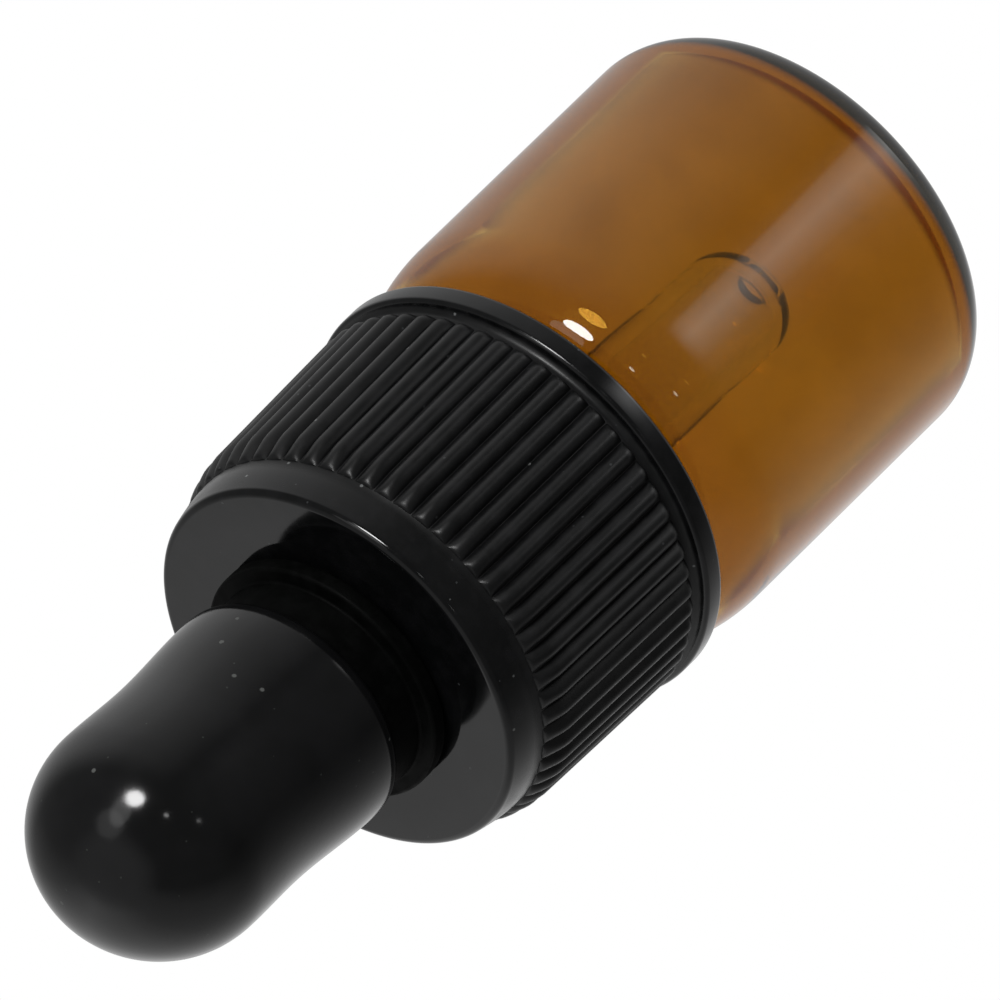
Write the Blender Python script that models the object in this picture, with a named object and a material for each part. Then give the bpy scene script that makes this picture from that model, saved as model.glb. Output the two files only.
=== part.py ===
"""A small dropper bottle for ink: amber glass vial, ribbed screw cap, rubber bulb and glass pipette.

Every part is a closed solid turned round +Z, with helical screw threads and straight finger ribs in its
walls. The origin is the centre of the base, and +Z runs up through the bulb. Sizes below are in millimetres.
"""

import math

import bmesh
import bpy

MM = 0.001
MERGE = 1e-7
TURN_STEPS = 40
BULB_STEPS = 32
PIPETTE_STEPS = 24
RIB_COUNT = 60
RIB_STEPS = 2 * RIB_COUNT
SHARP_ANGLE = math.radians(35)

# Vial
BODY_RADIUS = 11.0
GLASS_WALL = 1.05
HEEL_RADIUS = 2.6
INNER_HEEL_RADIUS = 1.7
FLOOR_THICKNESS = 1.25
PUSH_UP = 0.35
BEARING_WIDTH = 1.5
SHOULDER_START = 16.8
SHOULDER_HEIGHT = 4.5
SHOULDER_DROP = 2.1
INNER_SHOULDER_HEIGHT = 3.6
NECK_RADIUS = 7.85
NECK_WALL = 1.0
NECK_FILLET = 0.8
INNER_NECK_FILLET = 0.55
MOUTH_Z = 31.4
LIP_ROUND = 0.35

# Screw thread, right-handed: eight turns to the inch, one ridge on the neck and one in the cap
PITCH = 25.4 / 8
THREAD_DEPTH = 0.9
THREAD_CLEARANCE = 0.25
THREAD_RUN_OUT = 0.12
NECK_THREAD_Z = 24.1
NECK_THREAD_TURNS = 1.5
NECK_THREAD_HALF_BASE = 1.0
NECK_THREAD_HALF_CREST = 0.45
CAP_THREAD_TURNS = 1.25
CAP_THREAD_HALF_BASE = 0.9
CAP_THREAD_HALF_CREST = 0.35
THREAD_MARGIN = 0.2

# Screw cap
CAP_MOUTH_Z = 21.64
BAND_RADIUS = 11.07
BAND_TOP = 22.9
BAND_ROUND = 0.3
RIBS_START = 23.5
RIBS_FULL = 24.0
RIBS_TOP = 32.8
RIB_DEPTH = 0.42
RIB_RADIUS_LOW = 10.85
RIB_RADIUS_HIGH = 10.63
CHAMFER_TOP = 34.1
CHAMFER_RADIUS = 10.25
CHAMFER_RIB_DEPTH = 0.17
CROWN_RADIUS = 10.04
CROWN_TOP = 36.25
CROWN_ROUND = 0.94
CEILING_Z = 33.2
CAP_LEAD_IN = 0.3

# Rubber bulb
NECK_GAP = 0.15
PLAY = 0.2
FLANGE_RADIUS = 7.5
FLANGE_ROUND = 0.2
BULB_NECK_RADIUS = 4.35
FOOT_RADIUS = 6.35
FOOT_ROUND = 0.2
FOOT_TOP_Z = 37.35
GROOVE_RADIUS = 5.55
GROOVE_TOP_Z = 39.3
BULGE_RADIUS = 6.08
BULGE_Z = 40.3
WAIST_RADIUS = 5.82
WAIST_Z = 45.6
DOME_RADIUS = 5.92
DOME_Z = 49.3
BULB_TOP = 55.2
RUBBER_WALL = 1.2

# Glass pipette
PIPETTE_RADIUS = 2.75
PIPETTE_WALL = 0.8
PIPETTE_TIP_Z = 5.1
PIPETTE_TOP_Z = 37.4
TIP_ROUND = 1.8
TIP_HOLE_RADIUS = 0.8
PIPETTE_LIP = 0.3


def arc(centre, radii, start, end, count):
    """Points (r, z) along an elliptical arc, in degrees from 0 outwards to 90 upwards."""
    points = []
    for i in range(count + 1):
        angle = math.radians(start + (end - start) * i / count)
        r = centre[0] + radii[0] * math.cos(angle)
        z = centre[1] + radii[1] * math.sin(angle)
        points.append((r, z))
    return points


def dish(rim, height, steps):
    """Points (r, z) outwards along a shallow hollow that is level at its middle and at its rim."""
    points = []
    for i in range(1, steps + 1):
        r = rim * i / steps
        points.append((r, height * (1 + math.cos(math.pi * i / steps)) / 2))
    return points


def ring(bm, radii, z):
    """A closed ring of vertices round Z at one height, with one radius for each vertex."""
    verts = []
    for i, radius in enumerate(radii):
        angle = 2 * math.pi * i / len(radii)
        verts.append(bm.verts.new((radius * math.cos(angle) * MM, radius * math.sin(angle) * MM, z * MM)))
    return verts


def loft(bm, rings):
    """Quads between neighbouring rings that hold the same number of vertices."""
    for low, high in zip(rings, rings[1:]):
        count = len(low)
        for i in range(count):
            j = (i + 1) % count
            bm.faces.new((low[i], low[j], high[j], high[i]))


def turn(bm, profile, steps):
    """The surface that an (r, z) profile sweeps round Z. Returns its rings."""
    rings = [ring(bm, [r] * steps, z) for r, z in profile]
    loft(bm, rings)
    return rings


def cap_with_pole(bm, rim, z):
    """Closes a ring with a fan to a point on the axis."""
    pole = bm.verts.new((0, 0, z * MM))
    for i, vert in enumerate(rim):
        bm.faces.new((vert, rim[(i + 1) % len(rim)], pole))


def join_flat(bm, fine, coarse):
    """A flat collar from a ring of many vertices to a ring with fewer, one face for each coarse step."""
    ratio = len(fine) // len(coarse)
    for i in range(len(coarse)):
        edge = [fine[(i * ratio + k) % len(fine)] for k in range(ratio + 1)]
        bm.faces.new(edge + [coarse[(i + 1) % len(coarse)], coarse[i]])


def thread_wall(bm, wall, crest, span, first_z, turns, half_base, half_crest):
    """A wall of one radius between two heights, with a right-handed helical ridge that runs out at both ends.

    The rows follow the helix, four to a turn, and a row that would leave the span is held at its limit.
    """
    low, high = span
    offsets = (-half_base, -half_crest, half_crest, half_base)
    first = math.floor((low - first_z - half_base) / PITCH) - 1
    last = math.ceil((high - first_z + half_base) / PITCH) + 1
    grid = []
    for lap in range(first, last + 1):
        for offset in offsets:
            row = []
            for j in range(TURN_STEPS):
                along = lap + j / TURN_STEPS
                rise = min(along, turns - along) / THREAD_RUN_OUT
                height = min(max(rise, 0.0), 1.0) if abs(offset) == half_crest else 0.0
                radius = wall + (crest - wall) * height
                z = min(max(first_z + PITCH * along + offset, low), high)
                angle = 2 * math.pi * j / TURN_STEPS
                point = (radius * math.cos(angle) * MM, radius * math.sin(angle) * MM, z * MM)
                row.append(bm.verts.new(point))
            grid.append(row)
    lap_rows = len(offsets)
    for i in range(len(grid) - lap_rows - 1):
        for j in range(TURN_STEPS):
            if j + 1 < TURN_STEPS:
                right = grid[i][j + 1], grid[i + 1][j + 1]
            else:
                right = grid[i + lap_rows][0], grid[i + lap_rows + 1][0]
            bm.faces.new((grid[i][j], right[0], right[1], grid[i + 1][j]))


def finish_mesh(bm, name, material):
    """Merges the seams, turns the faces outwards and makes the object."""
    bmesh.ops.remove_doubles(bm, verts=bm.verts, dist=MERGE)
    loose = [vert for vert in bm.verts if not vert.link_faces]
    bmesh.ops.delete(bm, geom=loose, context="VERTS")
    bmesh.ops.recalc_face_normals(bm, faces=bm.faces)
    mesh = bpy.data.meshes.new(name)
    bm.to_mesh(mesh)
    bm.free()
    mesh.shade_smooth()
    mesh.set_sharp_from_angle(angle=SHARP_ANGLE)
    mesh.materials.append(material)
    part = bpy.data.objects.new(name, mesh)
    bpy.context.scene.collection.objects.link(part)
    return part


def plain_material(name, colour, roughness, transmission=0.0):
    material = bpy.data.materials.new(name)
    material.use_nodes = True
    shader = material.node_tree.nodes["Principled BSDF"]
    shader.inputs["Base Color"].default_value = (*colour, 1.0)
    shader.inputs["Roughness"].default_value = roughness
    shader.inputs["Metallic"].default_value = 0.0
    shader.inputs["Transmission Weight"].default_value = transmission
    return material


def glass_vial():
    """The amber vial: push-up base, rounded heel, soft shoulder and a threaded neck, open at the mouth."""
    heel_r = BODY_RADIUS - HEEL_RADIUS
    ridge_r = NECK_RADIUS + NECK_FILLET
    shoulder_r = BODY_RADIUS - SHOULDER_DROP
    shoulder_top = SHOULDER_START + SHOULDER_HEIGHT
    inner_r = BODY_RADIUS - GLASS_WALL
    bore_r = NECK_RADIUS - NECK_WALL
    thread_low = NECK_THREAD_Z - NECK_THREAD_HALF_BASE - THREAD_MARGIN
    thread_high = NECK_THREAD_Z + PITCH * NECK_THREAD_TURNS + NECK_THREAD_HALF_BASE + THREAD_MARGIN

    outside = dish(heel_r - BEARING_WIDTH, PUSH_UP, 4)
    outside += arc((heel_r, HEEL_RADIUS), (HEEL_RADIUS, HEEL_RADIUS), -90, 0, 5)
    outside += arc((shoulder_r, SHOULDER_START), (SHOULDER_DROP, SHOULDER_HEIGHT), 0, 90, 7)
    outside += arc((ridge_r, shoulder_top + NECK_FILLET), (NECK_FILLET, NECK_FILLET), -90, -180, 3)
    outside.append((NECK_RADIUS, thread_low))

    mouth = [(NECK_RADIUS, thread_high)]
    mouth += arc((NECK_RADIUS - LIP_ROUND, MOUTH_Z - LIP_ROUND), (LIP_ROUND, LIP_ROUND), 0, 90, 2)
    mouth += arc((bore_r + LIP_ROUND, MOUTH_Z - LIP_ROUND), (LIP_ROUND, LIP_ROUND), 90, 180, 2)

    inner_fillet_r = bore_r + INNER_NECK_FILLET
    inner_top = SHOULDER_START + INNER_SHOULDER_HEIGHT
    fillet_centre = (inner_fillet_r, inner_top + INNER_NECK_FILLET)
    inside = arc(fillet_centre, (INNER_NECK_FILLET, INNER_NECK_FILLET), 180, 270, 2)
    shoulder_radii = (inner_r - inner_fillet_r, INNER_SHOULDER_HEIGHT)
    inside += arc((inner_fillet_r, SHOULDER_START), shoulder_radii, 90, 0, 6)[1:]
    inner_heel = (inner_r - INNER_HEEL_RADIUS, FLOOR_THICKNESS + INNER_HEEL_RADIUS)
    inside += arc(inner_heel, (INNER_HEEL_RADIUS, INNER_HEEL_RADIUS), 0, -90, 4)

    bm = bmesh.new()
    outer_rings = turn(bm, outside, TURN_STEPS)
    inner_rings = turn(bm, mouth + inside, TURN_STEPS)
    cap_with_pole(bm, outer_rings[0], PUSH_UP)
    cap_with_pole(bm, inner_rings[-1], FLOOR_THICKNESS + PUSH_UP / 2)
    thread_wall(
        bm,
        NECK_RADIUS,
        NECK_RADIUS + THREAD_DEPTH,
        (thread_low, thread_high),
        NECK_THREAD_Z,
        NECK_THREAD_TURNS,
        NECK_THREAD_HALF_BASE,
        NECK_THREAD_HALF_CREST,
    )
    material = plain_material("amber_glass", (0.32, 0.13, 0.03), 0.05, transmission=1.0)
    return finish_mesh(bm, "glass_vial", material)


def ribbed_ring(bm, crest, depth, z):
    """A ring that alternates between rib crests and the grooves between them."""
    return ring(bm, [crest, crest - depth] * RIB_COUNT, z)


def screw_cap():
    """The cap in one moulding: plain band, ribbed skirt, chamfer, raised crown with a hole, inner thread."""
    wall_r = NECK_RADIUS + THREAD_DEPTH + THREAD_CLEARANCE
    hole_r = BULB_NECK_RADIUS + NECK_GAP
    first_z = NECK_THREAD_Z + PITCH / 2
    thread_low = CAP_MOUTH_Z + CAP_LEAD_IN
    thread_high = first_z + PITCH * CAP_THREAD_TURNS + CAP_THREAD_HALF_BASE + THREAD_MARGIN

    bm = bmesh.new()
    band_foot = (BAND_RADIUS - BAND_ROUND, CAP_MOUTH_Z + BAND_ROUND)
    band = arc(band_foot, (BAND_ROUND, BAND_ROUND), -90, 0, 2)
    rib_foot = RIB_RADIUS_LOW - RIB_DEPTH / 3
    outer = [ring(bm, [r] * RIB_STEPS, z) for r, z in band + [(BAND_RADIUS, BAND_TOP)]]
    outer += [
        ribbed_ring(bm, RIB_RADIUS_LOW, RIB_RADIUS_LOW - rib_foot, RIBS_START),
        ribbed_ring(bm, RIB_RADIUS_LOW, RIB_DEPTH, RIBS_FULL),
        ribbed_ring(bm, RIB_RADIUS_HIGH, RIB_DEPTH, RIBS_TOP),
        ribbed_ring(bm, CHAMFER_RADIUS, CHAMFER_RIB_DEPTH, CHAMFER_TOP),
    ]
    loft(bm, outer)

    crown_edge = (CROWN_RADIUS - CROWN_ROUND, CROWN_TOP - CROWN_ROUND)
    crown = [(CROWN_RADIUS, CHAMFER_TOP)] + arc(crown_edge, (CROWN_ROUND, CROWN_ROUND), 0, 90, 3)
    crown += [(hole_r, CROWN_TOP), (hole_r, CEILING_Z), (wall_r, CEILING_Z), (wall_r, thread_high)]
    crown_rings = turn(bm, crown, TURN_STEPS)
    join_flat(bm, outer[-1], crown_rings[0])

    mouth = turn(bm, [(wall_r, thread_low), (wall_r + CAP_LEAD_IN, CAP_MOUTH_Z)], TURN_STEPS)
    join_flat(bm, outer[0], mouth[-1])
    thread_wall(
        bm,
        wall_r,
        wall_r - THREAD_DEPTH,
        (thread_low, thread_high),
        first_z,
        CAP_THREAD_TURNS,
        CAP_THREAD_HALF_BASE,
        CAP_THREAD_HALF_CREST,
    )
    material = plain_material("black_plastic", (0.013, 0.013, 0.014), 0.35)
    return finish_mesh(bm, "screw_cap", material)


def swell(low, high, steps):
    """Points (r, z) after low, up to high, on a side that is upright at both of them."""
    points = []
    for i in range(1, steps + 1):
        share = (1 - math.cos(math.pi * i / steps)) / 2
        points.append((low[0] + (high[0] - low[0]) * share, low[1] + (high[1] - low[1]) * i / steps))
    return points


def rubber_bulb():
    """The squeeze bulb: a flange that seals the mouth, a neck through the crown, a foot, a waist and a dome."""
    bore_r = PIPETTE_RADIUS + NECK_GAP
    flange_low = MOUTH_Z + PLAY
    flange_high = CEILING_Z - PLAY
    foot_low = CROWN_TOP + PLAY
    foot_r = FOOT_RADIUS - FOOT_ROUND
    rim = FLANGE_RADIUS - FLANGE_ROUND

    outside = [(bore_r, flange_low), (rim, flange_low), (FLANGE_RADIUS, flange_low + FLANGE_ROUND)]
    outside += [(FLANGE_RADIUS, flange_high - FLANGE_ROUND), (rim, flange_high)]
    outside += [(BULB_NECK_RADIUS, flange_high), (BULB_NECK_RADIUS, foot_low)]
    outside += arc((foot_r, foot_low + FOOT_ROUND), (FOOT_ROUND, FOOT_ROUND), -90, 0, 2)
    outside += arc((foot_r, FOOT_TOP_Z - FOOT_ROUND), (FOOT_ROUND, FOOT_ROUND), 0, 90, 2)
    outside.append((GROOVE_RADIUS, FOOT_TOP_Z))
    bulge_size = (BULGE_RADIUS - GROOVE_RADIUS, BULGE_Z - GROOVE_TOP_Z)
    outside += arc((GROOVE_RADIUS, BULGE_Z), bulge_size, -90, 0, 4)
    outside += swell(outside[-1], (WAIST_RADIUS, WAIST_Z), 4)
    outside += arc((0, DOME_Z), (DOME_RADIUS, BULB_TOP - DOME_Z), 0, 82, 7)

    chamber_low = PIPETTE_TOP_Z + PLAY
    chamber_r = WAIST_RADIUS - RUBBER_WALL
    chamber_curve = chamber_r - bore_r
    inside = [(bore_r, flange_low)]
    inside += arc((bore_r, chamber_low + chamber_curve), (chamber_curve, chamber_curve), -90, 0, 3)
    dome_r = DOME_RADIUS - RUBBER_WALL
    dome_height = BULB_TOP - DOME_Z - RUBBER_WALL
    inside += arc((0, DOME_Z), (dome_r, dome_height), 0, 80, 5)

    bm = bmesh.new()
    outer_rings = turn(bm, outside, BULB_STEPS)
    inner_rings = turn(bm, inside, BULB_STEPS)
    cap_with_pole(bm, outer_rings[-1], BULB_TOP)
    cap_with_pole(bm, inner_rings[-1], BULB_TOP - RUBBER_WALL)
    material = plain_material("black_rubber", (0.012, 0.012, 0.013), 0.45)
    return finish_mesh(bm, "rubber_bulb", material)


def glass_pipette():
    """The pipette: a straight tube with a fire-polished top and a rounded tip drawn in to a small hole."""
    bore_r = PIPETTE_RADIUS - PIPETTE_WALL
    tip_centre = (PIPETTE_RADIUS - TIP_ROUND, PIPETTE_TIP_Z + TIP_ROUND)
    inner_round = bore_r - TIP_HOLE_RADIUS
    inner_z = PIPETTE_TIP_Z + PIPETTE_WALL + inner_round
    lip_z = PIPETTE_TOP_Z - PIPETTE_LIP

    profile = [(TIP_HOLE_RADIUS, PIPETTE_TIP_Z + PIPETTE_LIP)]
    profile += arc(tip_centre, (TIP_ROUND, TIP_ROUND), -90, 0, 4)
    profile += arc((PIPETTE_RADIUS - PIPETTE_LIP, lip_z), (PIPETTE_LIP, PIPETTE_LIP), 0, 90, 2)
    profile += arc((bore_r + PIPETTE_LIP, lip_z), (PIPETTE_LIP, PIPETTE_LIP), 90, 180, 2)
    profile += arc((TIP_HOLE_RADIUS, inner_z), (inner_round, inner_round), 0, -90, 3)
    profile.append(profile[0])

    bm = bmesh.new()
    turn(bm, profile, PIPETTE_STEPS)
    material = plain_material("clear_glass", (0.8, 0.82, 0.8), 0.05, transmission=1.0)
    return finish_mesh(bm, "glass_pipette", material)


def axis_empty(name, parent=None):
    """An empty on the bottle's axis, which a moving piece hangs from."""
    empty = bpy.data.objects.new(name, None)
    bpy.context.scene.collection.objects.link(empty)
    empty.parent = parent
    return empty


def build():
    for old in list(bpy.data.objects):
        bpy.data.objects.remove(old, do_unlink=True)
    glass_vial()
    lift = axis_empty("dropper_lift_axis")
    cap_turn = axis_empty("cap_turn_axis", parent=lift)
    rubber_bulb().parent = lift
    glass_pipette().parent = lift
    screw_cap().parent = cap_turn


build()
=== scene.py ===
"""A small dropper bottle for ink: the finished surfaces, the soft light and the camera.

The pieces are turned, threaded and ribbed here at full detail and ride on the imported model's bodies.
Lengths named in this file are millimetres, unless a comment says otherwise. Meshes are made in metres.
"""

import math

import bmesh
import bpy
from mathutils import Matrix, Vector, noise


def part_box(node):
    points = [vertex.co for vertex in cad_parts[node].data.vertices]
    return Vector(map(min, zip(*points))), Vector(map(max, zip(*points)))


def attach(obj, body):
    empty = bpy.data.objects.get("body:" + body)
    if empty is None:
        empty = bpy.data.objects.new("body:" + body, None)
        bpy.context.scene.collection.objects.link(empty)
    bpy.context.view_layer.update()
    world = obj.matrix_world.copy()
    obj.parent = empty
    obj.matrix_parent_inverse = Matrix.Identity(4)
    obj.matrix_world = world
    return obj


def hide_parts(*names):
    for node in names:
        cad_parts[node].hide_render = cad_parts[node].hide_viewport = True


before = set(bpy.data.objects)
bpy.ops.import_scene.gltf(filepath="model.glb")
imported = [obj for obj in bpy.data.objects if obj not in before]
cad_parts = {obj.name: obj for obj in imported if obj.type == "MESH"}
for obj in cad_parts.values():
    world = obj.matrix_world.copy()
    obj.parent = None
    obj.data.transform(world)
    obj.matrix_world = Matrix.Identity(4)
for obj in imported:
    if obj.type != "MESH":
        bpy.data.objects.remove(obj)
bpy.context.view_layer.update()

MM = 0.001
TAU = 2 * math.pi


def reach(node):
    """A node's widest radius, lowest height and highest height, in millimetres."""
    low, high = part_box(node)
    return high.x / MM, low.z / MM, high.z / MM


# Vial
VIAL_FACETS = 192
BODY_RADIUS, BASE_Z, MOUTH_Z = reach("glass_vial")
GLASS_WALL = 1.05
HEEL_RADIUS = 2.6
INNER_HEEL_RADIUS = 1.65
FLOOR_THICKNESS = 0.95
PUSH_UP = 0.35
BEARING_WIDTH = 1.5
SHOULDER_START = 16.8
SHOULDER_HEIGHT = 4.5
SHOULDER_DROP = 2.1
INNER_SHOULDER_HEIGHT = 3.6
NECK_RADIUS = 7.85
BORE_RADIUS = 6.85
NECK_FILLET = 0.8
INNER_NECK_FILLET = 0.55
LIP_ROUND = 0.35
WALL_STEP = 1.2

# The unevenness inside the moulded wall: its depth, its clouds to the millimetre and where it stops
UNEVEN_DEPTH = 0.05
UNEVEN_SETBACK = 0.03
UNEVEN_GRAIN = (0.16, 0.16, 0.12)
UNEVEN_FROM_RADIUS = 0.5
UNEVEN_LOW = 1.0
UNEVEN_HIGH = SHOULDER_START + 4

# Where the amber tint changes, painted shade at the heel, on the edge-on wall and on the heel's rim included:
# heights, radii, distances from the middle of the heel's curve, and how the outer face is seen, from 0 face
# on to 1 edge on
SHOULDER_TINT = (15.5, 21.5)
SHOULDER_EDGE_ON = (14.5, 18.5)
HEEL_SKIN = (2.1, 2.4)
HEEL_SKIN_RADII = (8.3, 8.9)
WALL_SKIN_RADII = (10.2, 10.6)
HEEL_SHADE_Z = (3.35, 2.85)
HEEL_SHADE_FACING = (0.10, 0.16)
WALL_SHADE_FACING = (0.55, 0.67)
RIM_SHADE_Z = (2.55, 1.95)
RIM_SHADE_FACING = (0.12, 0.30)

# Its tints; the last two are painted shade, for the heel and the edge-on wall, and for the heel's rim
AMBER = (0.492, 0.292, 0.052, 1.0)
AMBER_CLOUD = (0.422, 0.243, 0.036, 1.0)
AMBER_STREAK = (0.49, 0.29, 0.052, 1.0)
AMBER_SHOULDER = (0.43, 0.225, 0.028, 1.0)
AMBER_PAINTED_SHADE = (0.105, 0.021, 0.0006, 1.0)
AMBER_PAINTED_RIM_SHADE = (0.0003, 0.0003, 0.0003, 1.0)

# Screw thread
PITCH = 25.4 / 8
THREAD_DEPTH = 0.9
THREAD_CLEARANCE = 0.25
RUN_OUT = 0.12
THREAD_STEP = 0.11
WALL_MATCH = 0.02
NECK_THREAD_HALF_BASE = 1.0
NECK_THREAD_HALF_CREST = 0.45
CAP_THREAD_HALF_BASE = 0.9
CAP_THREAD_HALF_CREST = 0.35
NECK_THREAD_Z = 24.1
NECK_THREAD_TURNS = 1.5
CAP_THREAD_TURNS = 1.25

# Cap
CAP_FACETS = 240
BAND_RADIUS, CAP_MOUTH_Z, CROWN_TOP = reach("screw_cap")
CAP_BORE = NECK_RADIUS + THREAD_DEPTH + THREAD_CLEARANCE
EDGE_ROUND = 0.3
BAND_TOP = 22.9
BAND_ROUND = 0.26
RIB_COUNT = 60
RIBS_START = 23.35
RIBS_FULL = 23.95
RIBS_TOP = 32.8
RIB_DEPTH = 0.42
RIB_RADIUS_LOW = 10.85
RIB_RADIUS_HIGH = 10.63
CHAMFER_TOP = 34.1
CHAMFER_RADIUS = 10.25
CORE_HEIGHTS = (24.0, 26.0, 28.0, 30.0, RIBS_TOP, 33.4, CHAMFER_TOP)
RIB_FOOT_HEIGHTS = (RIBS_START + 0.02, 23.42, 23.52, 23.65, 23.8)
RIB_HEIGHTS = (RIBS_FULL, 26.0, 29.0, 31.5, RIBS_TOP)
RIB_HEAD_HEIGHTS = (33.1, 33.4, 33.7, 33.9, 34.02, CHAMFER_TOP)
RIB_HEAD_SHARES = (0.9, 0.55)
RIB_ACROSS = 12
RIB_SINK = 0.02
RIB_ROOT = 0.25
CROWN_RADIUS = 10.04
CROWN_STEP = 0.02
CROWN_LEDGE = 0.03
CROWN_WALL = ((10.02, 34.7), (9.96, 35.2), (9.89, 35.6))
CROWN_FACE_RADII = (7.6, 6.2)
CROWN_EDGE_RADIUS = 9.42
CROWN_ROUND = 0.38
CROWN_ROUND_WIDTH = 0.41
HOLE_ROUND = 0.12
CEILING_Z = 33.2
CEILING_MARGIN = 0.1
CAP_HOLE = 4.5

# Bulb
BULB_FACETS = 160
FLANGE_RADIUS, FLANGE_LOW, BULB_TOP = reach("rubber_bulb")
BULB_CLEARANCE = 0.2
FLANGE_HIGH = CEILING_Z - BULB_CLEARANCE
FLANGE_ROUND = 0.2
BULB_NECK_RADIUS = 4.35
FOOT_LOW = CROWN_TOP + BULB_CLEARANCE
FOOT_TOP = 37.35
FOOT_RADIUS = 6.35
FOOT_ROUND = 0.2
GROOVE_RADIUS, GROOVE_TOP = 5.55, 39.3
GROOVE_FILLET = 0.15
BULGE_RADIUS, BULGE_Z = 6.08, 40.3
WAIST_RADIUS, WAIST_Z = 5.82, 45.6
DOME_RADIUS, DOME_Z = 5.93, 49.3
RUBBER_WALL = 1.2
GRIP_GAP = 0.15
CHAMBER_GAP = 0.2
BULB_LEAN = 0.029
BULB_EASE = 4.0
BULB_UNEVEN_DEPTH = 0.045
BULB_UNEVEN_GRAIN = (0.14, 0.14, 0.11)

# Pipette
PIPETTE_FACETS = 96
PIPETTE_RADIUS, PIPETTE_TIP_Z, PIPETTE_TOP_Z = reach("glass_pipette")
PIPETTE_WALL = 0.8
TIP_ROUND = 1.8
TIP_HOLE = 0.8
TIP_EDGE_ROUND = 0.25
PIPETTE_LIP = 0.3
TUBE_PIVOT_Z = 34.0

# Every finish here bends light about as much
REFRACTION = 1.5

# Edges that turn more than this stay sharp
SHARP_ANGLE = math.radians(50)
CAP_SHARP_ANGLE = math.radians(40)


# ---------------------------------------------------------------- node trees


class Wire:
    """A node output that takes part in sums: every operator adds one Math node."""

    def __init__(self, tree, socket):
        self.tree = tree
        self.socket = socket

    def math(self, operation, *others):
        """One Math node that takes this wire first."""
        return self.tree.add("ShaderNodeMath", {"operation": operation}, [self, *others])

    def __add__(self, other):
        return self.math("ADD", other)

    __radd__ = __add__

    def __mul__(self, other):
        return self.math("MULTIPLY", other)

    __rmul__ = __mul__

    def __sub__(self, other):
        return self.math("SUBTRACT", other)

    def __rsub__(self, other):
        return self.tree.add("ShaderNodeMath", {"operation": "SUBTRACT"}, [other, self])

    def __truediv__(self, other):
        return self.math("DIVIDE", other)

    def __pow__(self, other):
        return self.math("POWER", other)

    def __abs__(self):
        return self.math("ABSOLUTE")

    def between(self, low, high, start=0.0, end=1.0):
        """Runs smoothly from start at low to end at high, and stays level outside them."""
        settings = {"interpolation_type": "SMOOTHSTEP", "clamp": True}
        return self.tree.add("ShaderNodeMapRange", settings, [self, low, high, start, end])


class Tree:
    """A node tree that is filled one node at a time."""

    def __init__(self, nodes):
        self.tree = nodes

    def add(self, kind, settings=None, inputs=(), output=0):
        """Adds a node: its settings first, then the values or links of its sockets."""
        node = self.tree.nodes.new(kind)
        for name, value in (settings or {}).items():
            if name == "stops":
                self.set_stops(node.color_ramp, value)
            else:
                setattr(node, name, value)
        pairs = inputs.items() if isinstance(inputs, dict) else enumerate(inputs)
        for key, value in pairs:
            if isinstance(value, Wire):
                self.tree.links.new(value.socket, node.inputs[key])
            elif value is not None:
                node.inputs[key].default_value = value
        return Wire(self, node.outputs[output]) if node.outputs else node

    def set_stops(self, ramp, stops):
        """Gives a ramp its colours, each with its position."""
        while len(ramp.elements) < len(stops):
            ramp.elements.new(1.0)
        for element, (position, colour) in zip(ramp.elements, stops):
            element.position = position
            element.color = (*colour, 1.0)

    def more(self, wire, output):
        """Another output of the node that a wire comes from."""
        return Wire(self, wire.socket.node.outputs[output])

    def split(self, vector):
        """A vector's x, y and z."""
        x = self.add("ShaderNodeSeparateXYZ", None, [vector])
        return x, self.more(x, 1), self.more(x, 2)

    def mix(self, factor, first, second):
        """Blends two colours."""
        inputs = {0: factor, 6: first, 7: second}
        return self.add("ShaderNodeMix", {"data_type": "RGBA"}, inputs, output=2)

    def noise(self, place, scale, detail=2.0, roughness=0.5):
        """Cloudy values round 0.5, with about scale clouds to the millimetre."""
        inputs = {
            "Vector": place,
            "Scale": scale,
            "Detail": detail,
            "Roughness": roughness,
        }
        return self.add("ShaderNodeTexNoise", {"normalize": True}, inputs)

    def place(self, stretch=(1000.0, 1000.0, 1000.0), shift=(0.0, 0.0, 0.0)):
        """The point on the piece in millimetres, stretched or moved for a pattern."""
        coordinates = self.add("ShaderNodeTexCoord", None, (), output="Object")
        inputs = {"Vector": coordinates, "Location": shift, "Scale": stretch}
        return self.add("ShaderNodeMapping", None, inputs)

    def bump(self, height, strength, depth, under=None):
        """A relief of that depth in millimetres, over another relief if there is one."""
        inputs = {"Strength": strength, "Distance": depth * MM, "Height": height, "Normal": under}
        return self.add("ShaderNodeBump", None, inputs)

    def specks(self, place, scale, size, share):
        """Small separate spots: 1 inside each, 0 outside. Only a share of the cells holds one."""
        cell = self.add("ShaderNodeTexVoronoi", {"feature": "F1"}, {"Vector": place, "Scale": scale})
        tone = self.split(self.more(cell, "Color"))
        spot = cell.between(size * 0.6, size, 1.0, 0.0)
        return spot * tone[0].between(1.0 - share, 1.0 - share + 0.01)


def finish(name, colour, roughness, transmission=0.0, specular=0.5):
    """A new material with its Principled shader. Even values sit on the shader itself."""
    material = bpy.data.materials.new(name)
    material.use_nodes = True
    shader = material.node_tree.nodes["Principled BSDF"]
    shader.inputs["Base Color"].default_value = (*colour, 1.0)
    shader.inputs["Roughness"].default_value = roughness
    shader.inputs["IOR"].default_value = REFRACTION
    shader.inputs["Transmission Weight"].default_value = transmission
    shader.inputs["Specular IOR Level"].default_value = specular
    return material, Tree(material.node_tree), shader


def feed(tree, shader, **wires):
    """Links wires to the shader's sockets, named with _ for a space."""
    for name, wire in wires.items():
        tree.tree.links.new(wire.socket, shader.inputs[name.replace("_", " ")])


# ---------------------------------------------------------------- finishes


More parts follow.
